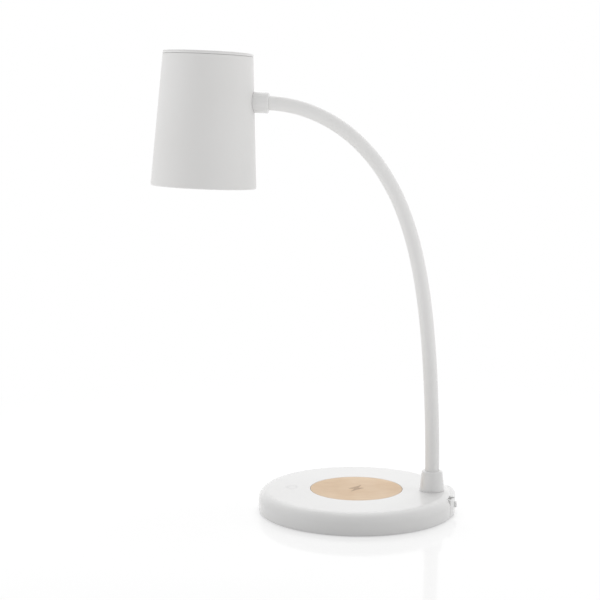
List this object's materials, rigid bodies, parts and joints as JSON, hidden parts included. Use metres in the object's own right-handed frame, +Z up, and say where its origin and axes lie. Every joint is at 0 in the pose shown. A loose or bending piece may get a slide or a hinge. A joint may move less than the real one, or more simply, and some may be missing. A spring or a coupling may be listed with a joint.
{
  "type": "desk lamp",
  "caption": "Gooseneck desk lamp on a thin round charging base with a wood inlay, under a tapered white shade.",
  "frame": {"origin": "centre of the base's underside, on the surface it stands on", "axes": "+Z up, the gooseneck rises on the +X side and carries the shade towards -X, ports and button face +X"},
  "size_m": [0.2485, 0.16, 0.3723],
  "materials": {
    "white_gloss": "glossy moulded plastic",
    "white_matte": "matte moulded plastic",
    "shade_white": "satin, very fine grain",
    "wood": "fine pressed wood, satin",
    "pad_rubber": "matte silicone",
    "sleeve_silicone": "satin silicone",
    "cable_rubber": "matte",
    "plated_steel": "zinc plated",
    "hose_steel": "bright steel",
    "copper": "enamelled copper",
    "ferrite": "matte",
    "board_green": "solder mask",
    "dark_plastic": "matte",
    "socket_metal": "nickel plated",
    "button_grey": "satin",
    "aluminium": "plain",
    "led_yellow": "phosphor",
    "opal": "opal, frosted"
  },
  "bodies": {
    "base": {"base_shell": "white_gloss", "wood_inlay": "wood", "bottom_cover": "white_matte", "non_slip_pad": "pad_rubber", "ballast_plate": "plated_steel", "cover_screws": "plated_steel", "ballast_screws": "plated_steel", "charging_coil": "copper", "ferrite_sheet": "ferrite", "coil_tray": "white_matte", "tray_screws": "plated_steel", "main_board": "board_green", "board_components": "dark_plastic", "board_screws": "plated_steel", "usb_a_socket": "socket_metal", "usb_c_socket": "socket_metal", "rear_panel": "white_gloss", "push_switch": "dark_plastic", "touch_electrode": "copper", "stem_collar": "white_gloss", "stem_fitting": "plated_steel", "stem_washer": "plated_steel", "stem_nut": "plated_steel", "gooseneck_sleeve": "sleeve_silicone", "lamp_cable": "cable_rubber", "hose_link_0": "hose_steel"},
    "button": {"power_button": "button_grey", "switch_plunger": "dark_plastic"},
    "link_1": {"hose_link_1": "hose_steel"},
    "link_2": {"hose_link_2": "hose_steel"},
    "link_3": {"hose_link_3": "hose_steel"},
    "link_4": {"hose_link_4": "hose_steel"},
    "link_5": {"hose_link_5": "hose_steel"},
    "link_6": {"hose_link_6": "hose_steel"},
    "link_7": {"hose_link_7": "hose_steel"},
    "link_8": {"hose_link_8": "hose_steel"},
    "head": {"hose_link_9": "hose_steel", "neck_ferrule": "white_gloss", "neck_nut": "plated_steel", "shade": "shade_white", "shade_cap": "shade_white", "heat_sink": "aluminium", "heat_sink_screws": "plated_steel", "led_board": "aluminium", "led_board_screws": "plated_steel", "leds": "led_yellow", "reflector": "white_matte", "diffuser": "opal", "diffuser_ring": "white_matte"}
  },
  "joints": [
    {"name": "gooseneck_bend_1", "type": "hinge", "parent": "base", "child": "link_1", "pos_m": [0.0613, 0, 0.0699], "axis": [0, -1, 0], "range_deg": [-12, 12], "deforming": ["gooseneck_sleeve", "lamp_cable"]},
    {"name": "gooseneck_sway_2", "type": "hinge", "parent": "link_1", "child": "link_2", "pos_m": [0.05985, 0, 0.10577], "axis": [0.9986, 0, 0.0526], "range_deg": [-12, 12], "deforming": ["gooseneck_sleeve", "lamp_cable"]},
    {"name": "gooseneck_bend_3", "type": "hinge", "parent": "link_2", "child": "link_3", "pos_m": [0.05732, 0, 0.14157], "axis": [0, -1, 0], "range_deg": [-12, 12], "deforming": ["gooseneck_sleeve", "lamp_cable"]},
    {"name": "gooseneck_sway_4", "type": "hinge", "parent": "link_3", "child": "link_4", "pos_m": [0.05314, 0, 0.17723], "axis": [0.9896, 0, 0.1439], "range_deg": [-12, 12], "deforming": ["gooseneck_sleeve", "lamp_cable"]},
    {"name": "gooseneck_bend_5", "type": "hinge", "parent": "link_4", "child": "link_5", "pos_m": [0.04638, 0, 0.21247], "axis": [0, -1, 0], "range_deg": [-12, 12], "deforming": ["gooseneck_sleeve", "lamp_cable"]},
    {"name": "gooseneck_sway_6", "type": "hinge", "parent": "link_5", "child": "link_6", "pos_m": [0.0355, 0, 0.24665], "axis": [0.9281, 0, 0.3723], "range_deg": [-12, 12], "deforming": ["gooseneck_sleeve", "lamp_cable"]},
    {"name": "gooseneck_bend_7", "type": "hinge", "parent": "link_6", "child": "link_7", "pos_m": [0.01864, 0, 0.27827], "axis": [0, -1, 0], "range_deg": [-12, 12], "deforming": ["gooseneck_sleeve", "lamp_cable"]},
    {"name": "gooseneck_sway_8", "type": "hinge", "parent": "link_7", "child": "link_8", "pos_m": [-0.00539, 0, 0.30478], "axis": [0.6414, 0, 0.7672], "range_deg": [-12, 12], "deforming": ["gooseneck_sleeve", "lamp_cable"]},
    {"name": "gooseneck_bend_9", "type": "hinge", "parent": "link_8", "child": "head", "pos_m": [-0.03607, 0, 0.32313], "axis": [0, -1, 0], "range_deg": [-12, 12], "deforming": ["gooseneck_sleeve", "lamp_cable"]},
    {"name": "button_press", "type": "slide", "parent": "base", "child": "button", "axis": [-1, 0, 0], "range_m": [0, 0.0012], "stiffness_N_per_m": 900, "springref_m": -0.0012}
  ]
}
